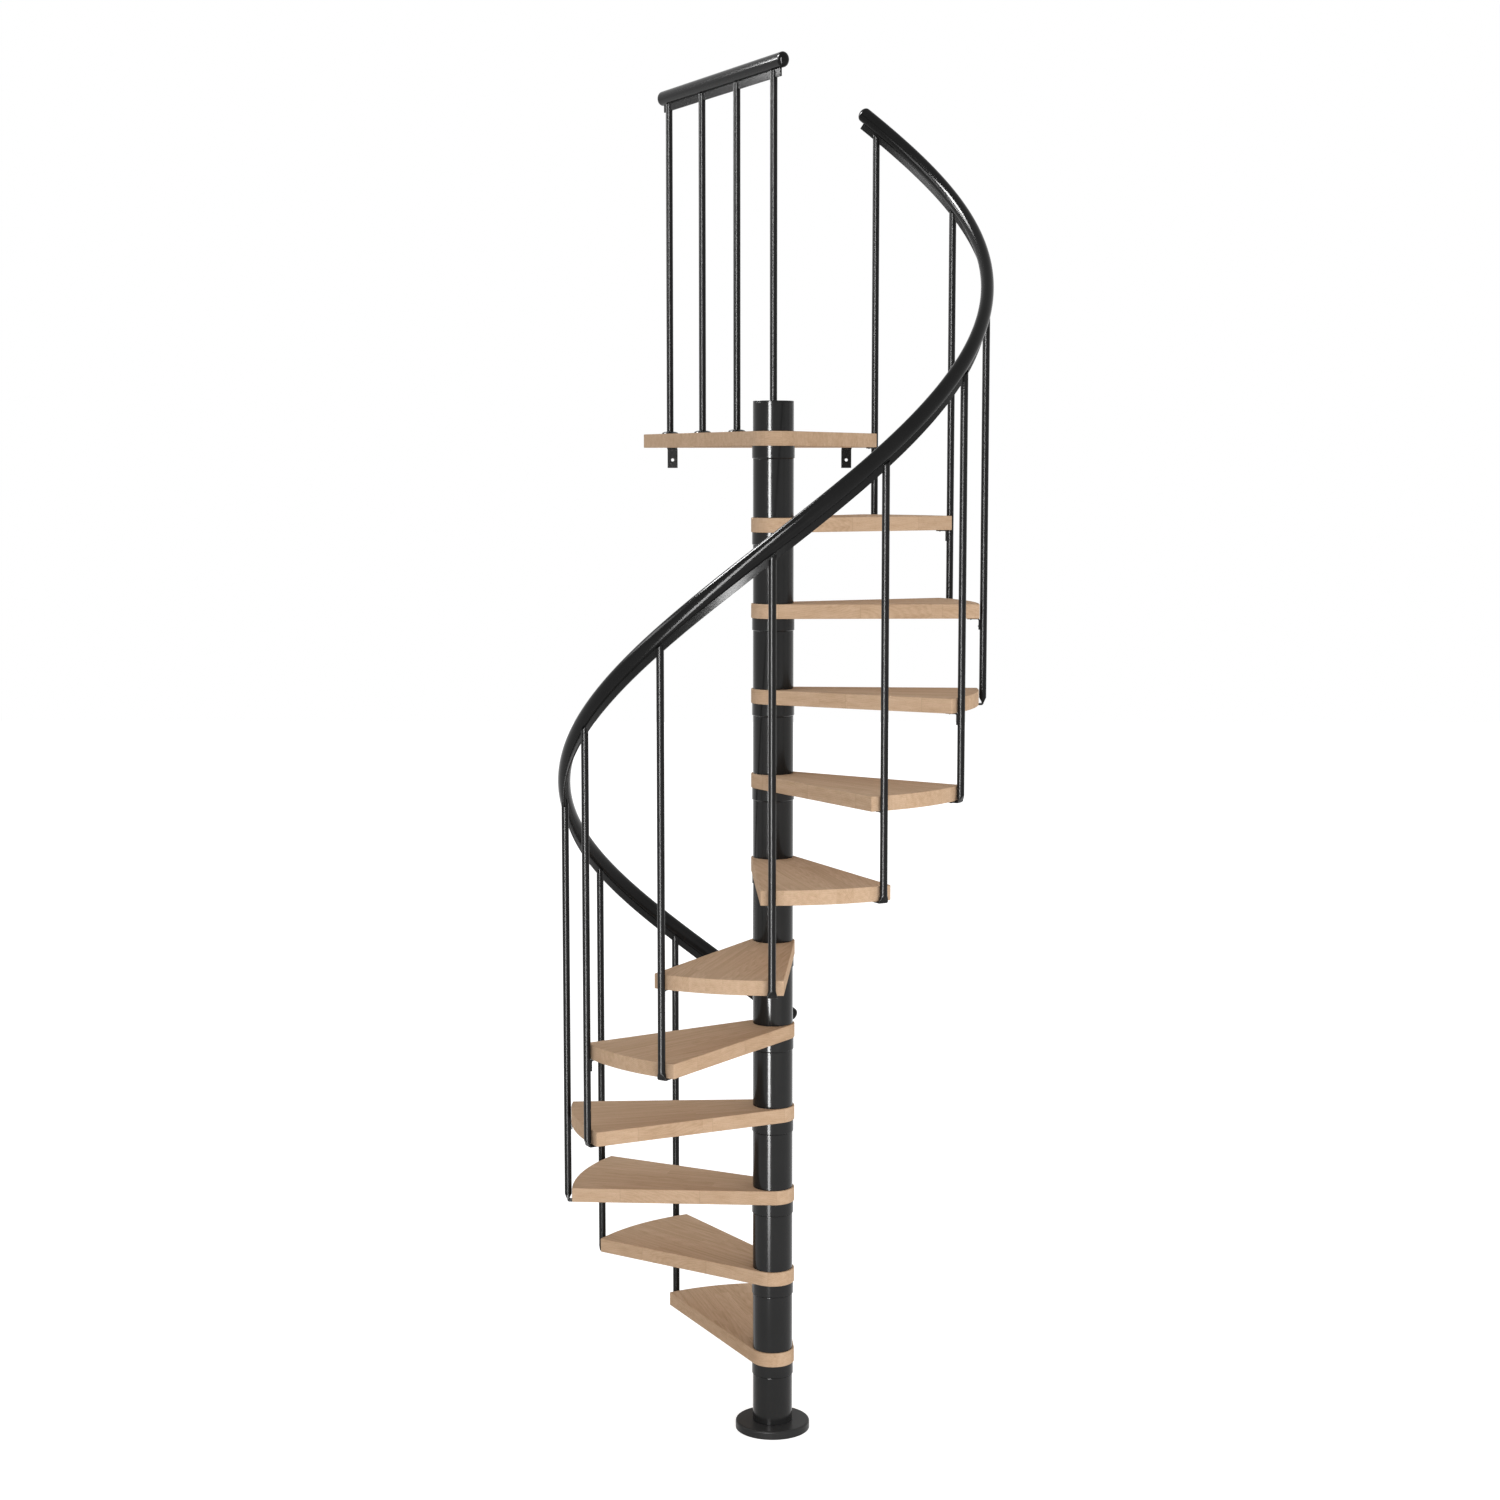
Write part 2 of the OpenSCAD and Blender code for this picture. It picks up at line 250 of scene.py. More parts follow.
def oak_staves(tree):
    """Place in the panel, place counted in staves along and across, and three random numbers a stave.

    The row is the whole part of across, and a random shift of each row staggers the butt joints."""
    grain = add(tree, "ShaderNodeAttribute", attribute_name="grain").outputs["Vector"]
    spot = add(tree, "ShaderNodeSeparateXYZ", {0: grain}).outputs
    across = calc(tree, "DIVIDE", spot[1], STAVE_W)
    row = calc(tree, "FLOOR", across)
    shift = add(tree, "ShaderNodeTexWhiteNoise", {"W": row}, noise_dimensions="1D").outputs["Value"]
    along = calc(tree, "ADD", calc(tree, "DIVIDE", spot[0], STAVE_L), shift)
    cell = add(tree, "ShaderNodeCombineXYZ", {0: row, 1: calc(tree, "FLOOR", along)}).outputs[0]
    chance = add(tree, "ShaderNodeTexWhiteNoise", {"Vector": cell}).outputs["Color"]
    return spot, along, across, add(tree, "ShaderNodeSeparateXYZ", {0: chance}).outputs


print(f"staves {STAVE_W * 1000:.0f} mm wide, about {STAVE_L * 1000:.0f} mm long")

# %% [markdown]
# Three things draw the figure of a stave: long soft streaks, year rings and pores. Streaks and pores
# are the same noise, drawn out along the grain, once coarse and once very fine. Year rings are
# distances from a pith that lies somewhere below the stave and is slightly tilted: where the saw
# cuts those shells at a slant, the long arches of a flat-sawn face appear.

# %% Streaks, rings and seams
RING, RING_WANDER = 0.0045, 2.5
PITH_NEAR, PITH_FAR = 0.03, 0.15
PITH_ASIDE = 0.10
PITH_TILT = 0.14
# How far the region of a stave's noise may lie from that of another, across and through
REGION_ACROSS, REGION_THROUGH = 71.0, 53.0


def oak_noise(tree, spot, chances, along, across, detail):
    """Noise stretched along the grain, taken from another region of space for every stave."""
    u = calc(tree, "MULTIPLY", spot[0], along)
    v = calc(tree, "MULTIPLY_ADD", spot[1], across, calc(tree, "MULTIPLY", chances[0], REGION_ACROSS))
    w = calc(tree, "MULTIPLY_ADD", spot[2], across, calc(tree, "MULTIPLY", chances[1], REGION_THROUGH))
    where = add(tree, "ShaderNodeCombineXYZ", {0: u, 1: v, 2: w}).outputs[0]
    return noise(tree, where, 1.0, detail)


def oak_rings(tree, spot, across, chances, wander):
    """Year rings: a sine over the distance from the stave's own tilted pith, shaken by a noise."""
    middle = calc(tree, "SUBTRACT", calc(tree, "FRACT", across), 0.5)
    aside = calc(tree, "MULTIPLY", calc(tree, "SUBTRACT", chances[0], 0.5), PITH_ASIDE)
    side = calc(tree, "MULTIPLY_ADD", middle, STAVE_W, aside)
    tilt = calc(tree, "MULTIPLY", calc(tree, "SUBTRACT", chances[2], 0.5), PITH_TILT)
    deep = calc(tree, "MULTIPLY_ADD", chances[1], PITH_FAR - PITH_NEAR, PITH_NEAR)
    depth = calc(tree, "ADD", calc(tree, "MULTIPLY_ADD", spot[0], tilt, spot[2]), deep)
    square = calc(tree, "MULTIPLY_ADD", side, side, calc(tree, "MULTIPLY", depth, depth))
    count = calc(tree, "DIVIDE", calc(tree, "SQRT", square), RING)
    shaken = calc(tree, "MULTIPLY_ADD", wander, RING_WANDER, count)
    wave = calc(tree, "SINE", calc(tree, "MULTIPLY", shaken, 2 * pi))
    return calc(tree, "MULTIPLY_ADD", wave, 0.5, 0.5)


def seam(tree, count, half_width):
    """1 on the thin line where two neighbours are glued, 0 elsewhere."""
    off_centre = calc(tree, "ABSOLUTE", calc(tree, "SUBTRACT", calc(tree, "FRACT", count), 0.5))
    return calc(tree, "GREATER_THAN", off_centre, 0.5 - half_width)


print(f"year rings {RING * 1000:.1f} mm apart")

# %% [markdown]
# The tone is a sum of shares: most from the streaks, a little from the rings and a little from the
# stave's own random tone. A colour ramp turns it into three oak browns. Pores and glue lines are
# darker and lie deeper, so they also feed the bump, and the lacquer's roughness follows the streaks.

# %% Oak under matt lacquer
OAK_DARK = (0.490, 0.317, 0.193)
OAK_MID = (0.620, 0.427, 0.278)
OAK_LIGHT = (0.720, 0.516, 0.355)
OAK_PORE = (0.300, 0.180, 0.100, 1.0)
OAK_STOPS = (0.15, 0.5, 0.85)
OAK_GLOSS, OAK_ROUGHNESS = 0.03, (0.68, 0.80)
OAK_BUMP, OAK_BUMP_DEPTH = 0.3, 0.00015
SEAM_HALF, SEAM_MARK = 0.00025, 0.20
STREAK_ALONG, STREAK_ACROSS, STREAK_DETAIL, STREAK_HEIGHT = 2.0, 85.0, 5.0, 0.3
PORE_ALONG, PORE_ACROSS, PORE_DETAIL, PORE_MARK = 45.0, 1300.0, 1.0, 0.35
PORE_LIMITS = (0.58, 0.72)
STREAK_SHARE, STAVE_SHARE, RING_SHARE, TONE_SHIFT = 0.75, 0.14, 0.16, -0.02


def oak_finish():
    """Tone from streaks, staves and rings, marks and bump from pores and seams."""
    material, tree, shader = new_material("oak", OAK_GLOSS)
    spot, along, across, chances = oak_staves(tree)
    streaks = oak_noise(tree, spot, chances, STREAK_ALONG, STREAK_ACROSS, STREAK_DETAIL)
    pores = oak_noise(tree, spot, chances, PORE_ALONG, PORE_ACROSS, PORE_DETAIL)
    rings = oak_rings(tree, spot, across, chances, streaks)
    edges = seam(tree, across, SEAM_HALF / STAVE_W)
    seams = calc(tree, "MAXIMUM", edges, seam(tree, along, SEAM_HALF / STAVE_L))
    tone = calc(tree, "MULTIPLY_ADD", chances[2], STAVE_SHARE, TONE_SHIFT)
    tone = calc(tree, "MULTIPLY_ADD", streaks, STREAK_SHARE, tone)
    tone = calc(tree, "MULTIPLY_ADD", rings, RING_SHARE, tone)
    colour = ramp(tree, tone, list(zip(OAK_STOPS, (OAK_DARK, OAK_MID, OAK_LIGHT))))
    pits = spread(tree, pores, 0.0, 1.0, *PORE_LIMITS)
    pore_marks, seam_marks = calc(tree, "MULTIPLY", pits, PORE_MARK), calc(tree, "MULTIPLY", seams, SEAM_MARK)
    marks = calc(tree, "MAXIMUM", pore_marks, seam_marks)
    mixed = add(tree, "ShaderNodeMix", {0: marks, 6: colour, 7: OAK_PORE}, data_type="RGBA").outputs[2]
    streak_height = calc(tree, "MULTIPLY", streaks, STREAK_HEIGHT)
    height = calc(tree, "SUBTRACT", streak_height, calc(tree, "MAXIMUM", pits, seams))
    dress(tree, shader, mixed, spread(tree, streaks, *OAK_ROUGHNESS), height, OAK_BUMP, OAK_BUMP_DEPTH)
    return material


oak = oak_finish()
print("oak is a graph of", len(oak.node_tree.nodes), "nodes")

# %% [markdown]
# ## Surfaces from grids
# Nearly every piece of this stair is a ring of points carried along something: a circle up a tube, an
# oval along the helix, an outline through the thickness of a board. Blender could sweep curves, but a
# plain grid of numbers is easier to follow and closes exactly. Row by row the grid holds the rings,
# quads join neighbours, and a flat face closes each end.

# %% Grid helpers


def quads(rows, cols):
    """Corner numbers of the quads between neighbouring points of a grid whose columns close a ring."""
    row, col = np.meshgrid(np.arange(rows - 1), np.arange(cols), indexing="ij")
    here, ahead = row * cols + col, row * cols + (col + 1) % cols
    return np.stack([here, ahead, ahead + cols, here + cols], axis=-1).reshape(-1, 4)


def skin(rings):
    """Closed solid over rings[row, column]: quads between the rings, one flat face at each end.

    The rings turn anticlockwise about the direction in which the rows advance."""
    rows, cols, _ = rings.shape
    first, last = np.arange(cols)[::-1], np.arange(cols) + (rows - 1) * cols
    return rings.reshape(-1, 3), [*quads(rows, cols).tolist(), first.tolist(), last.tolist()]


def put(solid, turn, origin):
    """Solid turned about Z by an angle, then moved to an origin."""
    c, s = cos(turn), sin(turn)
    points, faces = solid
    return points @ np.array([[c, s, 0.0], [-s, c, 0.0], [0.0, 0.0, 1.0]]) + np.asarray(origin), faces


def join(solids):
    """Points and faces of several solids in one list: each solid's corner numbers move up."""
    starts = np.cumsum([0] + [len(points) for points, _ in solids])
    faces = [[corner + start for corner in face] for start, solid in zip(starts, solids) for face in solid[1]]
    return np.concatenate([points for points, _ in solids]), faces


print("one quad of a 2 by 4 grid:", quads(2, 4)[0])

# %% [markdown]
# A mesh becomes a piece of the stair when it hangs under the root body, takes its finish and hides
# the measured parts it stands for. Faces have to point outwards, and the volume tells: added up
# over all triangles, it comes out positive only if they do.
#
# Smooth shading blends the directions of neighbouring faces, which would tint a large flat face
# beside a narrow round. A Weighted Normal modifier lets the larger face decide, so it stays flat.

# %% Piece maker
SHARP_ANGLE = radians(38)


def litres(mesh):
    """Volume inside a closed mesh: the sum of a . (b x c) / 6 over its triangles, times 1000."""
    mesh.calc_loop_triangles()
    corners = np.empty(len(mesh.loop_triangles) * 3, dtype=np.int32)
    points = np.empty(len(mesh.vertices) * 3, dtype=np.float32)
    mesh.loop_triangles.foreach_get("vertices", corners)
    mesh.vertices.foreach_get("co", points)
    a, b, c = points.reshape(-1, 3)[corners.reshape(-1, 3)].transpose(1, 0, 2).astype(float)
    return 1000 * np.sum(a * np.cross(b, c)) / 6


def make_piece(name, solids, material, slot, *nodes):
    """Mesh object from closed solids, hung under the root body, which hides the nodes named and stands in
    their place.
    """
    points, faces = join(solids)
    mesh = bpy.data.meshes.new(name)
    mesh.from_pydata(points.tolist(), [], faces)
    mesh.shade_smooth()
    mesh.set_sharp_from_angle(angle=SHARP_ANGLE)
    mesh.materials.append(material)
    piece = show(name, mesh)
    piece.modifiers.new("flat_faces", "WEIGHTED_NORMAL").keep_sharp = True
    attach(piece, "root")
    if nodes:
        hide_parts(*nodes)
    assert litres(mesh) > 0, name
    return piece


print(f"shading breaks at edges sharper than {np.degrees(SHARP_ANGLE):.0f} degrees")

# %% [markdown]
# ## The column
# Flange, spacer tubes, collars and cap are turned parts, all round about one axis. A turned part is a
# profile of radii and heights spun about Z. Real tubes have a small round on every edge, which
# catches a line of light, so a profile's corners are quarter circles and not points. Only the collars
# have a plain chamfer.

# %% Turned parts
TURN_SIDES = 128


def turned(radii, heights, sides=TURN_SIDES):
    """Profile spun about Z: x and y are the radius times (cos, sin) of an even row of angles."""
    a = np.linspace(0.0, 2 * pi, sides, endpoint=False)
    radii, heights = np.asarray(radii)[:, None], np.asarray(heights)[:, None]
    return skin(np.stack(np.broadcast_arrays(radii * np.cos(a), radii * np.sin(a), heights), axis=-1))


def rounded_profile(radius, low, high, low_round, high_round, steps=6):
    """Radii and heights of a disc or tube: quarter circles round off its lower and upper edge.

    One more point on each end face, further in, keeps the shading of the flat ends flat."""
    t = np.linspace(0.0, pi / 2, steps)
    inner = [radius - 2 * max(low_round, high_round)]
    radii = [inner, radius - low_round * (1 - np.sin(t)), radius - high_round * (1 - np.cos(t)), inner]
    heights = [[low], low + low_round * (1 - np.cos(t)), high - high_round * (1 - np.sin(t)), [high]]
    return np.concatenate(radii), np.concatenate(heights)


print("a rounded tube has", len(rounded_profile(1, 0, 1, 0.1, 0.1)[0]), "points in its profile")

# %% Flange, tubes, collars and cap
COLUMN_R = box("column_cap")[2][0] / 2
COLLAR_R = box("collar_rings")[2][0] / 2
COLLAR_H = RISE - WOOD_T - box("collar_rings")[0][2]
FLANGE_R, FLANGE_T = box("base_flange")[2][0] / 2, box("base_flange")[2][2]
CAP_LOW, CAP_HIGH = box("column_cap")[0][2], box("column_cap")[1][2]
FLANGE_ROUND, FLANGE_ARRIS = 0.005, 0.0008
TUBE_ROUND = 0.0012
COLLAR_CHAMFER = 0.0025
CAP_ROUND = 0.0015


def spacer_tubes():
    """Tubes from the flange or a tread's top up to the next collar, and the stub on the landing."""
    tops = RISE * np.arange(1, TREADS + 2)
    lows = [FLANGE_T, *tops]
    highs = [*(tops - WOOD_T - COLLAR_H), CAP_LOW]
    return [turned(*rounded_profile(COLUMN_R, a, b, TUBE_ROUND, TUBE_ROUND)) for a, b in zip(lows, highs)]


def collar(top):
    """Collar under the wood: a short chamfer at the lower edge, then straight up."""
    low = top - COLLAR_H
    radii = np.array([-2 * COLLAR_CHAMFER, -COLLAR_CHAMFER, 0.0, 0.0, -COLLAR_CHAMFER]) + COLLAR_R
    return turned(radii, [low, low, low + COLLAR_CHAMFER, top, top])


flange = turned(*rounded_profile(FLANGE_R, 0.0, FLANGE_T, FLANGE_ARRIS, FLANGE_ROUND))
cap = turned(*rounded_profile(COLUMN_R, CAP_LOW, CAP_HIGH, TUBE_ROUND / 2, CAP_ROUND))
collars = [collar(RISE * i - WOOD_T) for i in range(1, TREADS + 2)]
# The flange takes the lighter black, painted light against the treads' shade
make_piece("floor_flange", [flange], flange_painted_light_coat, "powder_coat", "base_flange")
make_piece("column_tubes", spacer_tubes(), powder_coat, "powder_coat", "spacer_tubes")
make_piece("column_collars", collars, powder_coat, "powder_coat", "collar_rings")
make_piece("column_lid", [cap], powder_coat, "powder_coat", "column_cap")
print(f"column {COLUMN_R * 2000:.0f} mm across with {len(collars)} collars of {COLLAR_H * 1000:.0f} mm")

# %% [markdown]
# ## Boards with rounded edges
# A tread is a board with a rounded arris all round. A Bevel modifier could round a plain slab, but
# it needs care at the joints of arcs and lines. Here every point of the outline knows its outward
# direction, so the rounding is exact: while the height turns through a quarter circle, the point
# steps in along that direction. Corners of the outline are small arcs, so the directions never jump.

# %% Outlines and boards
ARRIS = 0.002
ARRIS_STEPS = 5
CORNER_R, CORNER_STEP = 0.003, radians(15)
# The flat faces end a little further in than the arris, but less than a corner's radius
FLAT_INSET = 0.0025
ARC_STEP = radians(3)


def arc(centre, radius, start, end, step=ARC_STEP):
    """Points centre + radius * (cos a, sin a) at even angles a, with the directions (cos a, sin a)."""
    a = np.linspace(start, end, ceil(abs(end - start) / step) + 1)
    out = np.stack([np.cos(a), np.sin(a)], axis=-1)
    return np.asarray(centre) + radius * out, out


def corner(point, start, end):
    """Rounded corner between edges that face start and end: its centre lies CORNER_R inside both."""
    inwards = (ray(start) + ray(end)) / (1 + ray(start) @ ray(end))
    return arc(np.asarray(point) - CORNER_R * inwards, CORNER_R, start, end, CORNER_STEP)


def board(pieces, low, high):
    """Closed board over an outline: each ring is the outline, stepped in by ARRIS * (1 - sin t).

    The heights turn by ARRIS * (1 - cos t), first at the lower edge and then at the upper one."""
    outline, out = (np.concatenate(part) for part in zip(*pieces))
    t = np.linspace(0.0, pi / 2, ARRIS_STEPS)
    inset = np.concatenate([[FLAT_INSET], ARRIS * (1 - np.sin(t))])
    lift = np.concatenate([[0.0], ARRIS * (1 - np.cos(t))])
    inset, height = np.concatenate([inset, inset[::-1]]), np.concatenate([low + lift, high - lift[::-1]])
    plan = outline[None] - inset[:, None, None] * out[None]
    return skin(np.dstack([plan, np.broadcast_to(height[:, None], plan.shape[:2])]))


def set_grain(piece, turn, shift):
    """Gives every point its place in the panel: along, across and through it, turned to the board."""
    points = np.empty(len(piece.data.vertices) * 3, dtype=np.float32)
    piece.data.vertices.foreach_get("co", points)
    x, y, z = points.reshape(-1, 3).T
    along, across = x * cos(turn) + y * sin(turn), y * cos(turn) - x * sin(turn)
    grain = np.stack([along, across, z], axis=-1) + np.asarray(shift)
    attribute = piece.data.attributes.new("grain", "FLOAT_VECTOR", "POINT")
    attribute.data.foreach_set("vector", grain.astype(np.float32).ravel())


print(f"arris {ARRIS * 1000:.0f} mm, corners {CORNER_R * 1000:.0f} mm")

# %% [markdown]
# ## Treads
# Seen from above a tread is a wedge: a wide arc outside, a small arc round the column, and two
# straight edges that touch the small arc. An edge that touches a circle faces the same way as the
# circle does at the touching point, so the edge's direction is found with one arc cosine.

# %% Eleven treads
HALF_ANGLE = radians(18)
HUB_R = 0.061
HUB_TURN = acos(HUB_R / TREAD_R)
# Another part of the panel for each tread, so that no two show the same figure
PANEL_STEP = np.array([0.137, 0.733, 0.0])


def tread_outline():
    """Tread along +X: outer arc, corner, arc round the column, corner. Straight edges join them."""
    touch = HALF_ANGLE + HUB_TURN
    trim = CORNER_R * tan(HUB_TURN / 2) / TREAD_R
    return [
        arc((0, 0), TREAD_R, -HALF_ANGLE + trim, HALF_ANGLE - trim),
        corner(TREAD_R * ray(HALF_ANGLE), HALF_ANGLE, touch),
        arc((0, 0), HUB_R, touch, 2 * pi - touch),
        corner(TREAD_R * ray(-HALF_ANGLE), -touch, -HALF_ANGLE),
    ]


for i in range(1, TREADS + 1):
    wedge = put(board(tread_outline(), RISE * i - WOOD_T, RISE * i), tread_dir(i), (0, 0, 0))
    tread = make_piece(f"oak_tread_{i}", [wedge], oak, "oak", f"tread_{i}")
    set_grain(tread, tread_dir(i), PANEL_STEP * i - (0, 0, RISE * i))
print(f"{TREADS} treads of {litres(tread.data):.2f} litres of oak, {len(tread.data.polygons)} faces each")

# %% [markdown]
# ## Landing
# The landing is one wide board. Its exit edge lies against the upper floor, its left edge runs beside
# the railing, and its front corner meets the last baluster. One corner of the outline points inwards,
# where the arc by the last baluster meets the side edge. There the step inwards follows the bisector.

# %% Landing board
LANDING_DEPTH = box("landing")[1][1]
LANDING_RAIL = radians(116)
# The front corner lies just before the last baluster, and the side edge just past it
FRONT_BEFORE, SIDE_PAST, ARC_SHORT = radians(1.4), radians(6), radians(1)
LANDING_FRONT = post_dir(TREADS) - FRONT_BEFORE - 2 * pi
LANDING_SIDE = post_dir(TREADS) + SIDE_PAST - 2 * pi
LANDING_LEFT_X, LANDING_RIGHT_X = box("landing")[0][0], LANDING_DEPTH / tan(LANDING_SIDE)


def landing_outline():
    """Arc by the last baluster, inner corner, exit edge, left edge, arc round the column, front edge."""
    touch = LANDING_FRONT - HUB_TURN
    trim = CORNER_R * tan(HUB_TURN / 2) / TREAD_R
    bisector = (ray(LANDING_SIDE) + ray(LANDING_SIDE - pi / 2))[None]
    return [
        arc((0, 0), TREAD_R, LANDING_FRONT + trim, LANDING_SIDE - ARC_SHORT),
        (TREAD_R * ray(LANDING_SIDE)[None], bisector),
        corner((LANDING_RIGHT_X, LANDING_DEPTH), LANDING_SIDE - pi / 2, pi / 2),
        corner((LANDING_LEFT_X, LANDING_DEPTH), pi / 2, LANDING_RAIL + pi / 2),
        arc((0, 0), HUB_R, LANDING_RAIL + pi / 2, touch + 2 * pi),
        corner(TREAD_R * ray(LANDING_FRONT), touch, LANDING_FRONT),
    ]


slab = board(landing_outline(), LANDING_TOP - WOOD_T, LANDING_TOP)
landing = make_piece("oak_landing", [slab], oak, "oak", "landing")
set_grain(landing, 0.0, PANEL_STEP * (TREADS + 1) - (0, 0, LANDING_TOP))
print(f"landing {LANDING_RIGHT_X - LANDING_LEFT_X:.2f} m wide at its exit edge")

# %% [markdown]
# ## Handrail
# The rail is an oval carried along a helix, with a flat steel strip below it. At every angle the helix
# has its own three directions: outwards, along and upwards. The oval lies in the plane of outwards
# and upwards, so the sweep never twists. Each end is a dome: the oval shrinks like a cosine while it
# moves on like a sine.

# %% Helix
SLOPE = atan2(RISE, POST_R * STEP_ANGLE)
RAIL_W, RAIL_H, RAIL_DOME = 0.035, 0.042, 0.016
STRIP_T, STRIP_H, STRIP_SINK, STRIP_INSET = 0.005, 0.021, 0.003, 0.010
STRIP_LOW = 1.072
RAIL_MID = STRIP_LOW + STRIP_H + RAIL_H / 2 / cos(SLOPE)
RAIL_BEFORE, RAIL_PAST = radians(36), radians(3.8)
RAIL_START = post_dir(1) - RAIL_BEFORE
RAIL_END = post_dir(TREADS) + RAIL_PAST


def helix(a):
    """Centre line of the handrail and its three directions at an array of angles."""
    c, s, o = np.cos(a), np.sin(a), np.ones_like(a)
    height = RISE * (1 + (a - post_dir(1)) / STEP_ANGLE) + RAIL_MID
    centre = np.stack([POST_R * c, POST_R * s, height], axis=-1)
    out = np.stack([c, s, 0 * o], axis=-1)
    along = np.stack([-s * cos(SLOPE), c * cos(SLOPE), sin(SLOPE) * o], axis=-1)
    return centre, out, along, np.cross(out, along)


rail_turn = np.degrees(RAIL_END - RAIL_START)
print(f"the handrail climbs {np.degrees(SLOPE):.1f} degrees over {rail_turn:.0f} degrees of turn")

# %% Rail surfaces
RAIL_SIDES = 40
RAIL_STEP = radians(2)
# A dome stops this angle short of its pole, and a small flat face closes it
DOME_STEPS, DOME_TIP = 9, 0.03
BAR_SIDES = 16
STRIP_ROUND = 0.0008
LEAN_RINGS = 6


def oval(centre, out, up, share):
    """Rings centre + share * (up * height / 2 * cos p + out * width / 2 * sin p) over angles p."""
    p = np.linspace(0.0, 2 * pi, RAIL_SIDES, endpoint=False)[None, :, None]
    swing = RAIL_H / 2 * np.cos(p) * up[:, None] + RAIL_W / 2 * np.sin(p) * out[:, None]
    return centre[:, None] + share[:, None, None] * swing


def domed(centre, out, along, up):
    """Oval rail over the given places, with a dome added before the first and after the last."""
    t = np.linspace(pi / 2 - DOME_TIP, 0.0, DOME_STEPS, endpoint=False)
    back, ahead = (centre[[n]] + side * RAIL_DOME * np.sin(s)[:, None] * along[[n]]
                   for n, side, s in ((0, -1, t), (-1, 1, t[::-1])))
    before, after = np.zeros(DOME_STEPS, dtype=int), np.full(DOME_STEPS, len(centre) - 1)
    order = np.concatenate([before, np.arange(len(centre)), after])
    share = np.concatenate([np.cos(t), np.ones(len(centre)), np.cos(t[::-1])])
    return skin(oval(np.concatenate([back, centre, ahead]), out[order], up[order], share))


def flat_bar(centre, out, along, low, high, slope):
    """Upright bar with rounded edges: a rounded rectangle, STRIP_T wide and from low to high.

    Its sides are upright, but towards the ends the rings lean over until they are square to the slope:
    up = z - share * sin(slope) * along, where the share grows to 1 over the last few rings."""
    half, middle = STRIP_T / 2 - STRIP_ROUND, (low + high) / 2
    a = np.linspace(0.0, 2 * pi, BAR_SIDES, endpoint=False) + pi / BAR_SIDES
    side = half * np.sign(np.cos(a)) + STRIP_ROUND * np.cos(a)
    lift = middle + ((high - low) / 2 - STRIP_ROUND) * np.sign(np.sin(a)) + STRIP_ROUND * np.sin(a)
    to_end = np.minimum(np.arange(len(centre)), np.arange(len(centre))[::-1])
    share = np.clip(1 - to_end / LEAN_RINGS, 0.0, 1.0)[:, None]
    up = np.array([0.0, 0.0, 1.0]) - share * sin(slope) * along
    return skin(centre[:, None] - side[None, :, None] * out[:, None] + lift[None, :, None] * up[:, None])


turns = np.linspace(RAIL_START, RAIL_END, ceil((RAIL_END - RAIL_START) / RAIL_STEP) + 1)
strip_turns = np.linspace(RAIL_START + STRIP_INSET / POST_R, RAIL_END - STRIP_INSET / POST_R, len(turns))
strip_top = STRIP_LOW + STRIP_H + STRIP_SINK - RAIL_MID
rail = make_piece("helical_rail", [domed(*helix(turns))], rail_sleeve, "rail_sleeve", "handrail")
bar = flat_bar(*helix(strip_turns)[:3], STRIP_LOW - RAIL_MID, strip_top, SLOPE)
make_piece("helical_strip", [bar], strip_coat, "powder_coat", "handrail_strip")
print(f"handrail: {len(rail.data.polygons)} faces around {litres(rail.data):.2f} litres")

# %% [markdown]
# ## Landing rail
# The railing of the landing is the same oval over the same strip, carried along a straight line. The
# line only needs its two ends: the domes bring their own rings.

# %% Straight rail
LANDING_POST_INSET = 0.029
LANDING_POSTS = 3
LANDING_POST_STEP = (LANDING_DEPTH - LANDING_POST_INSET) / sin(LANDING_RAIL) / LANDING_POSTS
LANDING_RAIL_UP = 0.984
LANDING_RAIL_MID = LANDING_TOP + LANDING_RAIL_UP
LANDING_RAIL_OVER, LANDING_RAIL_EXIT = 0.054, 0.042


def straight(distances):
    """Centre line along the landing's railing and its three directions, at an array of distances."""
    o = np.ones(len(distances))[:, None]
    along = np.append(ray(LANDING_RAIL), 0.0)[None] * o
    out = np.append(ray(LANDING_RAIL - pi / 2), 0.0)[None] * o
    centre = along * np.asarray(distances)[:, None] + np.array([0.0, 0.0, LANDING_RAIL_MID])
    return centre, out, along, np.cross(out, along)


rail_ends = [-LANDING_RAIL_OVER, LANDING_POSTS * LANDING_POST_STEP + LANDING_RAIL_EXIT]
strip_ends = [rail_ends[0] + STRIP_INSET, rail_ends[1] - STRIP_INSET]
strip_high = -RAIL_H / 2
bar = flat_bar(*straight(strip_ends)[:3], strip_high - STRIP_H, strip_high + STRIP_SINK, 0.0)
make_piece("straight_rail", [domed(*straight(rail_ends))], rail_sleeve, "rail_sleeve", "landing_rail")
make_piece("straight_strip", [bar], dull_coat, "powder_coat", "landing_rail_strip")
print(f"landing rail {rail_ends[1] - rail_ends[0]:.3f} m long")

# %% [markdown]
# ## Balusters
# A baluster is one piece of tube, worked at both ends. The lower end is squashed flat and bent in
# under its tread. The upper end is sawn to a fork that straddles the rail's strip. The squashed
# foot is a sweep between two curves in the upright plane of the tube: its outer and its inner side.
# Each ring spans from one to the other, while its width grows and its shape goes from a flat oblong
# to a circle, so the metal flows from flat to round without a seam.

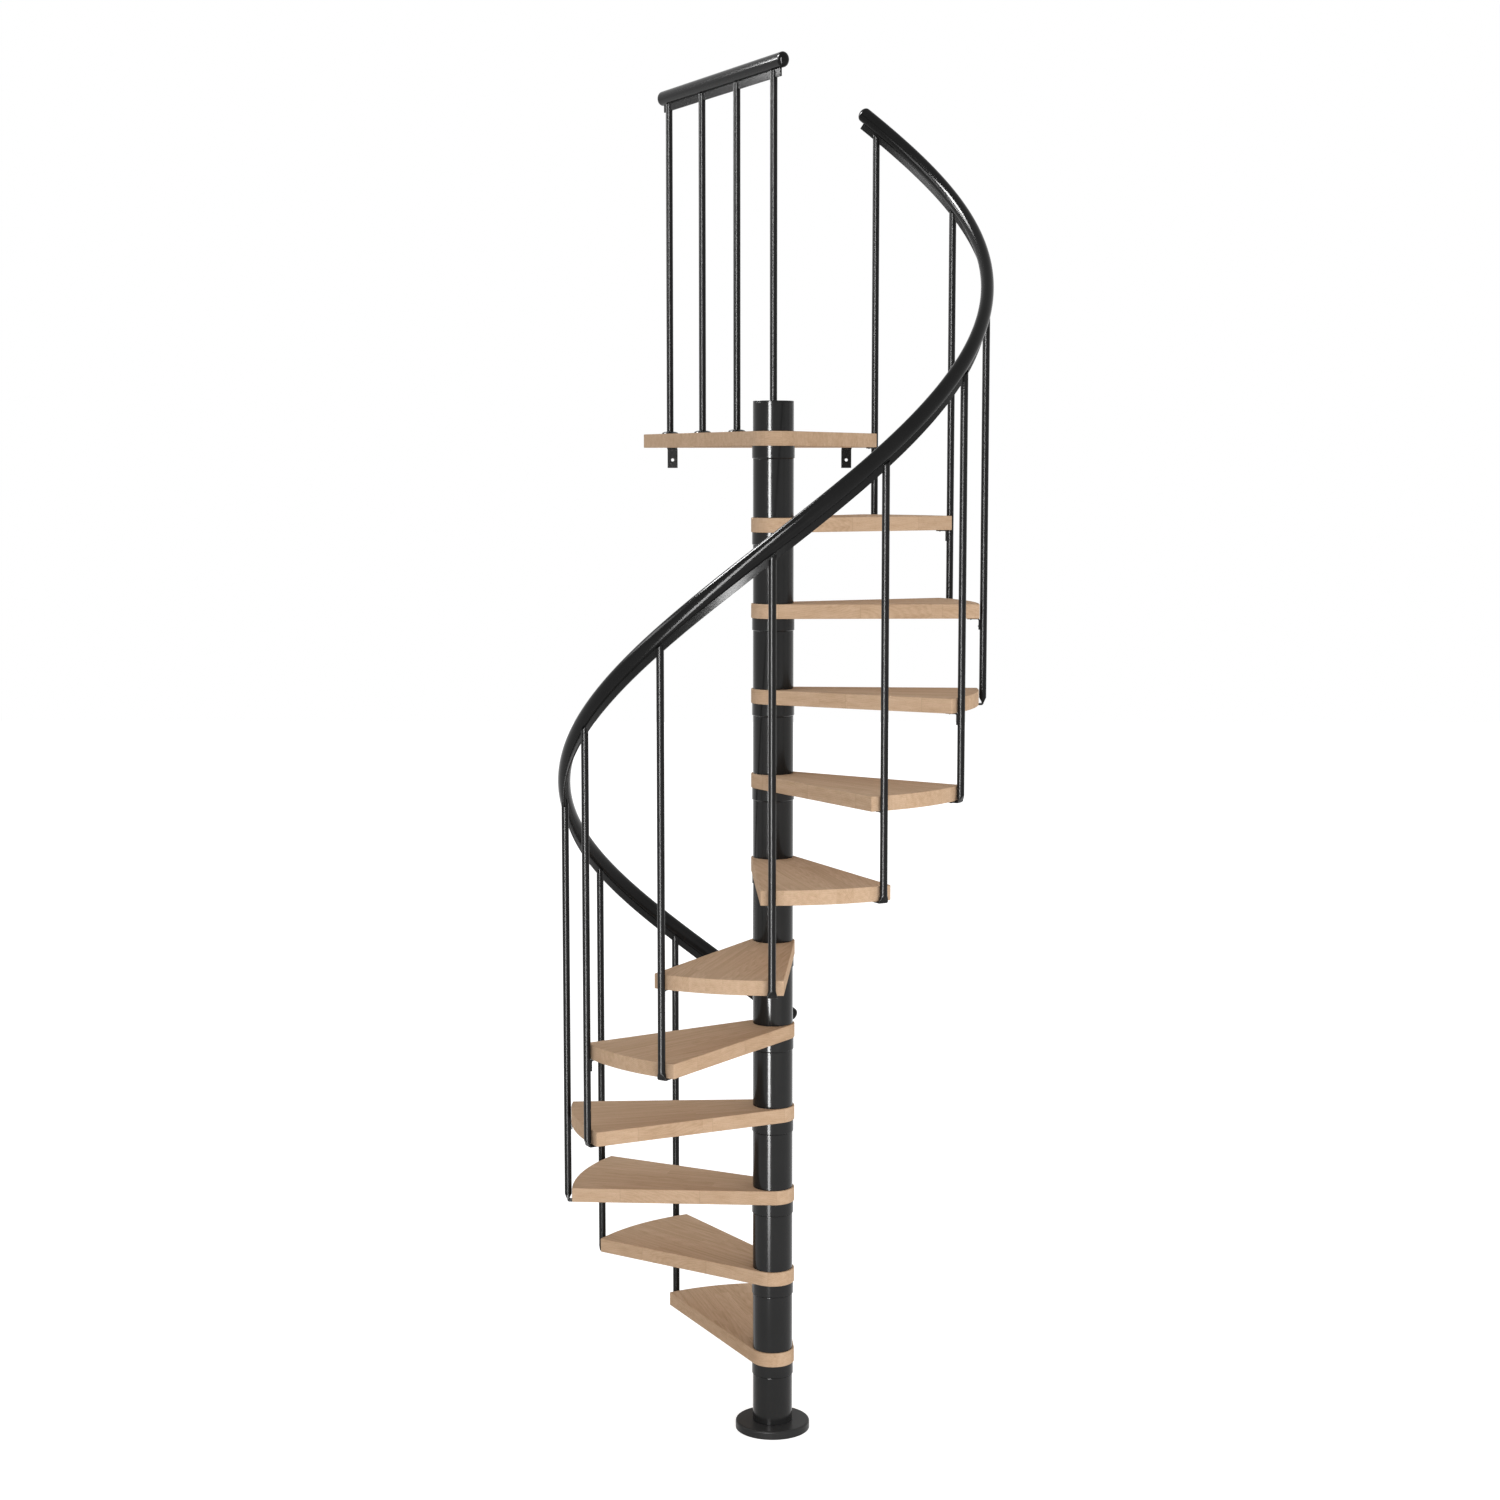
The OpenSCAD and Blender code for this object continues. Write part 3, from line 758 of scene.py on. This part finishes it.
# %% Foot of a baluster
FOOT_H, FOOT_W, FOOT_T, FOOT_BEND, FOOT_REACH = 0.016, 0.026, 0.005, 0.007, 0.036
FOOT_POWER = 6.0
TIP_RINGS, BEND_RINGS, TAPER_RINGS = 8, 7, 6
TIP_TURN = np.linspace(0.06, pi / 2, TIP_RINGS)
TAPER = np.linspace(0.0, 1.0, TAPER_RINGS + 1)[1:]


def foot_side(thick):
    """One side of the foot in the upright plane, as (x, z): flat tab, bend, taper out to the tube.

    The sign of thick picks the side: half the thickness away from the middle of the sheet."""
    middle = FOOT_BEND - FOOT_T / 2
    flat = FOOT_W / 2 - FOOT_REACH - POST_D / 2 - FOOT_W / 2 * np.cos(TIP_TURN)
    b = np.linspace(0.0, pi / 2, BEND_RINGS)
    tube = np.sign(thick) * POST_D / 2
    x = [flat, -middle + (middle + thick) * np.sin(b), thick + (tube - thick) * TAPER]
    low = FOOT_BEND - FOOT_T
    z = [0 * flat - FOOT_T / 2 - thick, low - (middle + thick) * np.cos(b), low + (FOOT_H - low) * TAPER]
    return np.stack([np.concatenate(x), np.concatenate(z) - WOOD_T], axis=-1)


def foot_rings(p):
    """Rings from the foot's tip up to the round tube, as (row, column, xyz) over the angles p.

    Ring = middle + half * |cos p|^(2/n) + width * |sin p|^(2/n), with the signs of cos and sin. The
    middle and the half span the foot's two sides, and n falls from 6, a flat oblong, to 2, a circle."""
    outer, inner = foot_side(FOOT_T / 2), foot_side(-FOOT_T / 2)
    middle, half = (outer + inner) / 2, (outer - inner) / 2
    widening = FOOT_W / 2 + (POST_D - FOOT_W) / 2 * TAPER
    width = np.concatenate([FOOT_W / 2 * np.sin(TIP_TURN), [FOOT_W / 2] * BEND_RINGS, widening])
    powers = [[FOOT_POWER] * (TIP_RINGS + BEND_RINGS), FOOT_POWER + (2 - FOOT_POWER) * TAPER]
    exponent = 2 / np.concatenate(powers)[:, None]
    c, s = (np.sign(wave) * np.abs(wave) ** exponent for wave in (np.cos(p), np.sin(p)))
    span = middle[:, None] + half[:, None] * c[..., None]
    return np.stack([span[..., 0], width[:, None] * s, span[..., 1]], axis=-1)


print(f"foot: {FOOT_W * 1000:.0f} mm wide and {FOOT_T * 1000:.0f} mm thick under the tread")

# %% [markdown]
# The fork is the same ring, cut twice. Its floor follows the strip's lower edge, its prongs end a
# little below the oval. Where the slot's walls meet the tube, the ring has points of its own, so the
# cut is clean: two prong arcs, two slot arcs, and the faces between them.

# %% Fork of a baluster
FORK_GAP = 0.0003
FORK_TURN = acos((STRIP_T / 2 + FORK_GAP) / (POST_D / 2))
PRONG, SLOT = 17, 6


def fork_angles():
    """Angles round the tube: outer prong, slot, inner prong, slot. The arcs meet at the slot's walls."""
    prong = np.linspace(-FORK_TURN, FORK_TURN, PRONG)
    slot_arc = np.linspace(FORK_TURN, pi - FORK_TURN, SLOT)[1:-1]
    return np.concatenate([prong, slot_arc, prong + pi, slot_arc + pi])


def forked_tube(lower_rings, floor, grip, slope):
    """Tube from its lower rings up to a fork: floor and prong tops rise with the slope along y."""
    p = fork_angles()
    x, y = POST_D / 2 * np.cos(p), POST_D / 2 * np.sin(p)
    top = np.stack([x, y, floor + tan(slope) * y], axis=-1)
    points, faces = skin(np.concatenate([lower_rings, top[None]]))
    cols, start = len(p), len(points) - len(p)
    half = PRONG + SLOT - 2
    arcs = np.array([np.arange(PRONG), np.arange(PRONG) + half])
    tips = top[arcs.ravel()] + np.array([0.0, 0.0, grip])
    faces.pop()
    for side, low in enumerate(arcs + start):
        high = len(points) + side * PRONG + np.arange(PRONG)
        faces += np.stack([low[:-1], low[1:], high[1:], high[:-1]], axis=-1).tolist()
        faces += [high.tolist(), [low[-1], low[0], high[0], high[-1]]]
    slot_ring = np.concatenate([np.arange(PRONG - 1, half + 1), np.arange(half + PRONG - 1, cols + 1) % cols])
    faces.append((slot_ring + start).tolist())
    return np.concatenate([points, tips]), faces


print(f"{len(fork_angles())} points round a tube, {PRONG} on each prong")

# %% Eleven spiral balusters
FORK_GRIP = 0.016
foot = foot_rings(fork_angles())
for i in range(1, TREADS + 1):
    tube = forked_tube(foot, STRIP_LOW - FORK_GAP / cos(SLOPE), FORK_GRIP, SLOPE)
    tube = put(tube, post_dir(i), (*(POST_R * ray(post_dir(i))), RISE * i))
    baluster = make_piece(f"tube_baluster_{i}", [tube], tube_coat, "powder_coat", f"baluster_{i}")
print(f"{TREADS} balusters, {len(baluster.data.polygons)} faces and {litres(baluster.data):.3f} litres each")

# %% [markdown]
# ## Railing of the landing
# Three balusters stand on the landing, each in a turned rosette, and a fourth on the column's cap. They
# are plain tubes with the same fork, turned so that the slot runs along the rail. Their prongs reach
# up to the oval.

# %% Landing balusters and rosettes
LANDING_FORK_GAP = 0.001
ROSETTE_R, ROSETTE_T = 0.025, box("rosettes")[2][2]
ROSETTE_RIM, ROSETTE_LAP = 0.001, 0.001
ROSETTE_SIDES, ROSETTE_STEPS = 64, 8
LANDING_STRIP_LOW = LANDING_RAIL_MID - RAIL_H / 2 - STRIP_H


def landing_post(distance, low):
    """Upright of the landing railing from a height up to its fork, at a distance from the column."""
    p = fork_angles()
    ring = np.stack([POST_D / 2 * np.cos(p), POST_D / 2 * np.sin(p), np.full(len(p), low)], axis=-1)
    tube = forked_tube(ring[None], LANDING_STRIP_LOW - FORK_GAP, STRIP_H - LANDING_FORK_GAP, 0.0)
    return put(tube, LANDING_RAIL - pi / 2, (*(distance * ray(LANDING_RAIL)), 0.0))


def rosette(distance):
    """Rosette round a baluster's foot: an upright rim, then a dome like a quarter ellipse."""
    t = np.linspace(0.0, pi / 2, ROSETTE_STEPS)
    inner = POST_D / 2 - ROSETTE_LAP
    radii = [[inner], [ROSETTE_R], inner + (ROSETTE_R - inner) * np.cos(t)]
    heights = [[0.0], [0.0], ROSETTE_RIM + (ROSETTE_T - ROSETTE_RIM) * np.sin(t)]
    disc = turned(np.concatenate(radii), np.concatenate(heights), ROSETTE_SIDES)
    return put(disc, 0.0, (*(distance * ray(LANDING_RAIL)), LANDING_TOP))


spots = LANDING_POST_STEP * np.arange(1, LANDING_POSTS + 1)
for i, spot in enumerate(spots, start=1):
    post = landing_post(spot, LANDING_TOP)
    make_piece(f"landing_tube_{i}", [post], tube_coat, "powder_coat", f"landing_baluster_{i}")
make_piece("column_tube", [landing_post(0.0, CAP_HIGH)], tube_coat, "powder_coat", "column_baluster")
make_piece("turned_rosettes", [rosette(spot) for spot in spots], powder_coat, "powder_coat", "rosettes")
print(f"{LANDING_POSTS} balusters {LANDING_POST_STEP * 1000:.0f} mm apart on the landing")

# %% [markdown]
# ## Brackets and screws
# Slim angle brackets tie each baluster to the tread above its own, and two larger ones hold the
# landing to the upper floor. Their flat faces are right as they are, so they only take the finish.
# What they lack is screws: round heads with a socket, one more turned profile set on each leg.

# %% Bracket finish
for name in ("tread_brackets", "landing_brackets"):
    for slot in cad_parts[name].material_slots:
        slot.material = powder_coat
print("brackets take", powder_coat.name)

# %% Screws
FOOT_SCREW, SLIM_SCREW = 0.0045, 0.0025
SCREW_SIDES, SCREW_STEPS, SCREW_TURN = 20, 6, 1.1
# A head's height, how deep its edge sits and its socket, as shares of its radius
HEAD_H, HEAD_SUNK, SOCKET_R = 0.6, 0.1, 0.4
# Rim and floor of the socket, as shares of the head's height
SOCKET_RIM, SOCKET_FLOOR = 0.95, 0.4
# How far along a bracket's leg its screw sits
SCREW_ALONG = 0.7
BRACKET_T, BRACKET_LEG, BRACKET_H = 0.0035, 0.035, 0.032
WALL_BRACKET_W, WALL_BRACKET_T, WALL_BRACKET_LEG = 0.030, 0.004, 0.040
DOWN = (0.0, 0.0, -1.0)


def screw(radius, origin, away):
    """Screw head: a quarter ellipse down to a socket, spun about the direction it faces."""
    t = np.linspace(0.0, SCREW_TURN, SCREW_STEPS)
    socket, height = SOCKET_R * radius, HEAD_H * radius
    radii = np.concatenate([[radius], radius * np.cos(t), [socket, socket]])
    rim = [SOCKET_RIM * height, SOCKET_FLOOR * height]
    heights = np.concatenate([[-HEAD_SUNK * radius], height * np.sin(t), rim])
    points, faces = turned(radii, heights, SCREW_SIDES)
    side = np.cross(away, (0.0, 1.0, 0.0) if away[2] else (0.0, 0.0, 1.0))
    axes = np.stack([side / np.linalg.norm(side), np.cross(away, side) / np.linalg.norm(side), away])
    return points @ axes + np.asarray(origin), faces


def post_screws(i):
    """Screws at baluster i: one in its foot, and one in each leg of the bracket above."""
    out, low = ray(post_dir(i)), RISE * i - WOOD_T
    inner, above = TREAD_R + POST_GAP, low + RISE
    return [
        screw(FOOT_SCREW, (*(out * (inner - FOOT_REACH / 2)), low - FOOT_T), DOWN),
        screw(SLIM_SCREW, (*(out * (inner - SCREW_ALONG * BRACKET_LEG)), above - BRACKET_T), DOWN),
        screw(SLIM_SCREW, (*(out * (inner - BRACKET_T)), above - SCREW_ALONG * BRACKET_H), (*-out, 0.0)),
    ]


def wall_screws():
    """One screw up into the landing from each wall bracket's level leg."""
    low, high, _ = box("landing_brackets")
    place = [LANDING_DEPTH - WALL_BRACKET_LEG / 2, high[2] - WALL_BRACKET_T]
    ends = (low[0] + WALL_BRACKET_W / 2, high[0] - WALL_BRACKET_W / 2)
    return [screw(FOOT_SCREW, (x, *place), DOWN) for x in ends]


screws = [head for i in range(1, TREADS + 1) for head in post_screws(i)] + wall_screws()
make_piece("screw_heads", screws, powder_coat, "powder_coat")
print(f"{len(screws)} screw heads")

# %% [markdown]
# ## Floor, background and light
# The stair stands on a plain white floor before a white background. Both are white to the camera and
# to reflections, but they don't light the stair: that is left to one lamp and to a dimmer sky. The
# floor still takes the soft shadow of the flange.

# %% Floor and sky
FLOOR_SIZE = 40.0
FLOOR_COLOUR = (0.80, 0.80, 0.80, 1.0)
FLOOR_GLOW = 0.72
SKY_LIGHT = 0.68


def seen(tree):
    """1 for rays from the camera, from reflections and through glass, 0 for light that falls on things."""
    path = add(tree, "ShaderNodeLightPath").outputs
    mirrored = calc(tree, "MAXIMUM", path["Is Glossy Ray"], path["Is Transmission Ray"])
    return calc(tree, "MAXIMUM", path["Is Camera Ray"], mirrored)


def bare_material(name):
    """Material without a shader, its node tree, and the socket that waits for one."""
    material = bpy.data.materials.new(name)
    material.use_nodes = True
    tree = material.node_tree
    tree.nodes.remove(tree.nodes["Principled BSDF"])
    return material, tree, tree.nodes["Material Output"].inputs["Surface"]


def white_floor():
    """Matt white that glows only where it is seen."""
    material, tree, surface = bare_material("floor")
    matt = add(tree, "ShaderNodeBsdfDiffuse", {"Color": FLOOR_COLOUR}).outputs[0]
    strength = calc(tree, "MULTIPLY", seen(tree), FLOOR_GLOW)
    glow = add(tree, "ShaderNodeEmission", {"Strength": strength}).outputs[0]
    tree.links.new(add(tree, "ShaderNodeAddShader", {0: matt, 1: glow}).outputs[0], surface)
    return material


corners = FLOOR_SIZE / 2 * np.array([(-1, -1, 0), (1, -1, 0), (1, 1, 0), (-1, 1, 0)])
floor_mesh = bpy.data.meshes.new("floor")
floor_mesh.from_pydata(corners.tolist(), [], [[0, 1, 2, 3]])
floor_mesh.materials.append(white_floor())
floor = show("floor", floor_mesh)

world = bpy.data.worlds.new("sky")
world.use_nodes = True
sky = world.node_tree.nodes["Background"]
sky.inputs["Color"].default_value = (1.0, 1.0, 1.0, 1.0)
strength = spread(world.node_tree, seen(world.node_tree), SKY_LIGHT, 1.0)
world.node_tree.links.new(strength, sky.inputs["Strength"])
bpy.context.scene.world = world
print(f"floor {FLOOR_SIZE:.0f} m wide, sky lights at {SKY_LIGHT}")

# %% [markdown]
# One large lamp does the rest. It stands low in front to the right, so upright faces are brighter than
# the tops of the treads. Reflections don't see it, because the cards below look after those.

# %% Key lamp
KEY_PLACE, KEY_TARGET = np.array([2.6, -6.0, 0.8]), np.array([0.0, 0.0, 0.6])
KEY_W, KEY_H, KEY_WATTS = 5.0, 1.5, 172.0

light = bpy.data.lights.new("key", "AREA")
light.shape = "RECTANGLE"
light.size, light.size_y = KEY_W, KEY_H
light.energy = KEY_WATTS
key = show("key", light)
gaze = KEY_TARGET - KEY_PLACE
key.rotation_euler = (atan2(np.hypot(gaze[0], gaze[1]), -gaze[2]), 0.0, atan2(-gaze[0], gaze[1]))
key.location = KEY_PLACE
key.visible_camera = False
key.visible_glossy = False
print(f"key lamp {KEY_W:.1f} by {KEY_H:.1f} m, {np.linalg.norm(gaze):.1f} m away")

# %% [markdown]
# A studio sets up white cards to draw lines of light on dark tubes. A tube mirrors a card only where
# its side faces halfway between camera and card, so the line stays thin. Each card here is a grid in
# polar coordinates about the column, only reflections see it, and every point of the grid carries its
# own brightness, so a card can fade out.

# %% Light cards
CARD_SIDES = 25


def card_glow():
    """Emission whose strength is the glow written at the points of a card."""
    material, tree, surface = bare_material("card_glow")
    glow = add(tree, "ShaderNodeAttribute", attribute_name="glow").outputs["Fac"]
    tree.links.new(add(tree, "ShaderNodeEmission", {"Strength": glow}).outputs[0], surface)
    return material


def light_card(name, span, path, glow):
    """Grid of points (r cos a, r sin a, z): a runs over the span in degrees, (r, z) along the path.

    The glow is one number, or one for each row, or one for each column."""
    a = np.radians(np.linspace(*span, CARD_SIDES))
    r, z = np.array(path).T[..., None]
    points = np.stack(np.broadcast_arrays(r * np.cos(a), r * np.sin(a), z), axis=-1).reshape(-1, 3)
    row, col = np.meshgrid(np.arange(len(path) - 1), np.arange(len(a) - 1), indexing="ij")
    here = (row * len(a) + col).ravel()
    faces = np.stack([here, here + len(a), here + len(a) + 1, here + 1], axis=-1)
    mesh = bpy.data.meshes.new(name)
    mesh.from_pydata(points.tolist(), [], faces.tolist())
    mesh.materials.append(card_material)
    glows = np.broadcast_to(glow, (len(path), len(a))).astype(np.float32)
    mesh.attributes.new("glow", "FLOAT", "POINT").data.foreach_set("value", glows.ravel())
    card = show(name, mesh)
    card.visible_camera = card.visible_diffuse = card.visible_shadow = card.visible_transmission = False


card_material = card_glow()
print("card glow is read from the points")

# %% [markdown]
# Four cards are enough. The front one draws the line down the column and the balusters. The camera
# looks down on the lower tubes, whose reflections run into the floor, so this card lies on the floor
# first, brightens outwards and then stands up. The high one shines on the upper end of the handrail,
# the side one on the flat strips below the rails, and the end one on the landing rail's near end.

# %% Four cards
CARD_LIFT = 0.004
FRONT_PATH = [(1.25, CARD_LIFT), (4.25, CARD_LIFT), (6.0, CARD_LIFT), (6.0, 6.2)]
FRONT_DIM, FRONT_GLOW, HIGH_GLOW, END_GLOW = 1.0, 78.0, 140.0, 58.0
SIDE_SPAN = (145, 199)
SIDE_STOPS, SIDE_GLOWS = (145, 150, 162, 174, 187, 199), (2.4, 3.5, 6.8, 18, 9.5, 1.2)

side_glow = np.interp(np.linspace(*SIDE_SPAN, CARD_SIDES), SIDE_STOPS, SIDE_GLOWS)
light_card("front_card", (243.3, 255.7), FRONT_PATH, [[FRONT_DIM], [FRONT_GLOW], [FRONT_GLOW], [FRONT_GLOW]])
light_card("high_card", (158, 178), [(4.3, 5.5), (4.3, 7.9)], HIGH_GLOW)
light_card("side_card", SIDE_SPAN, [(6.0, 3.9), (6.0, 5.2)], side_glow)
light_card("end_card", (142, 150), [(2.0, 4.1), (2.0, 5.3)], END_GLOW)
print("cards: front, high, side and end")
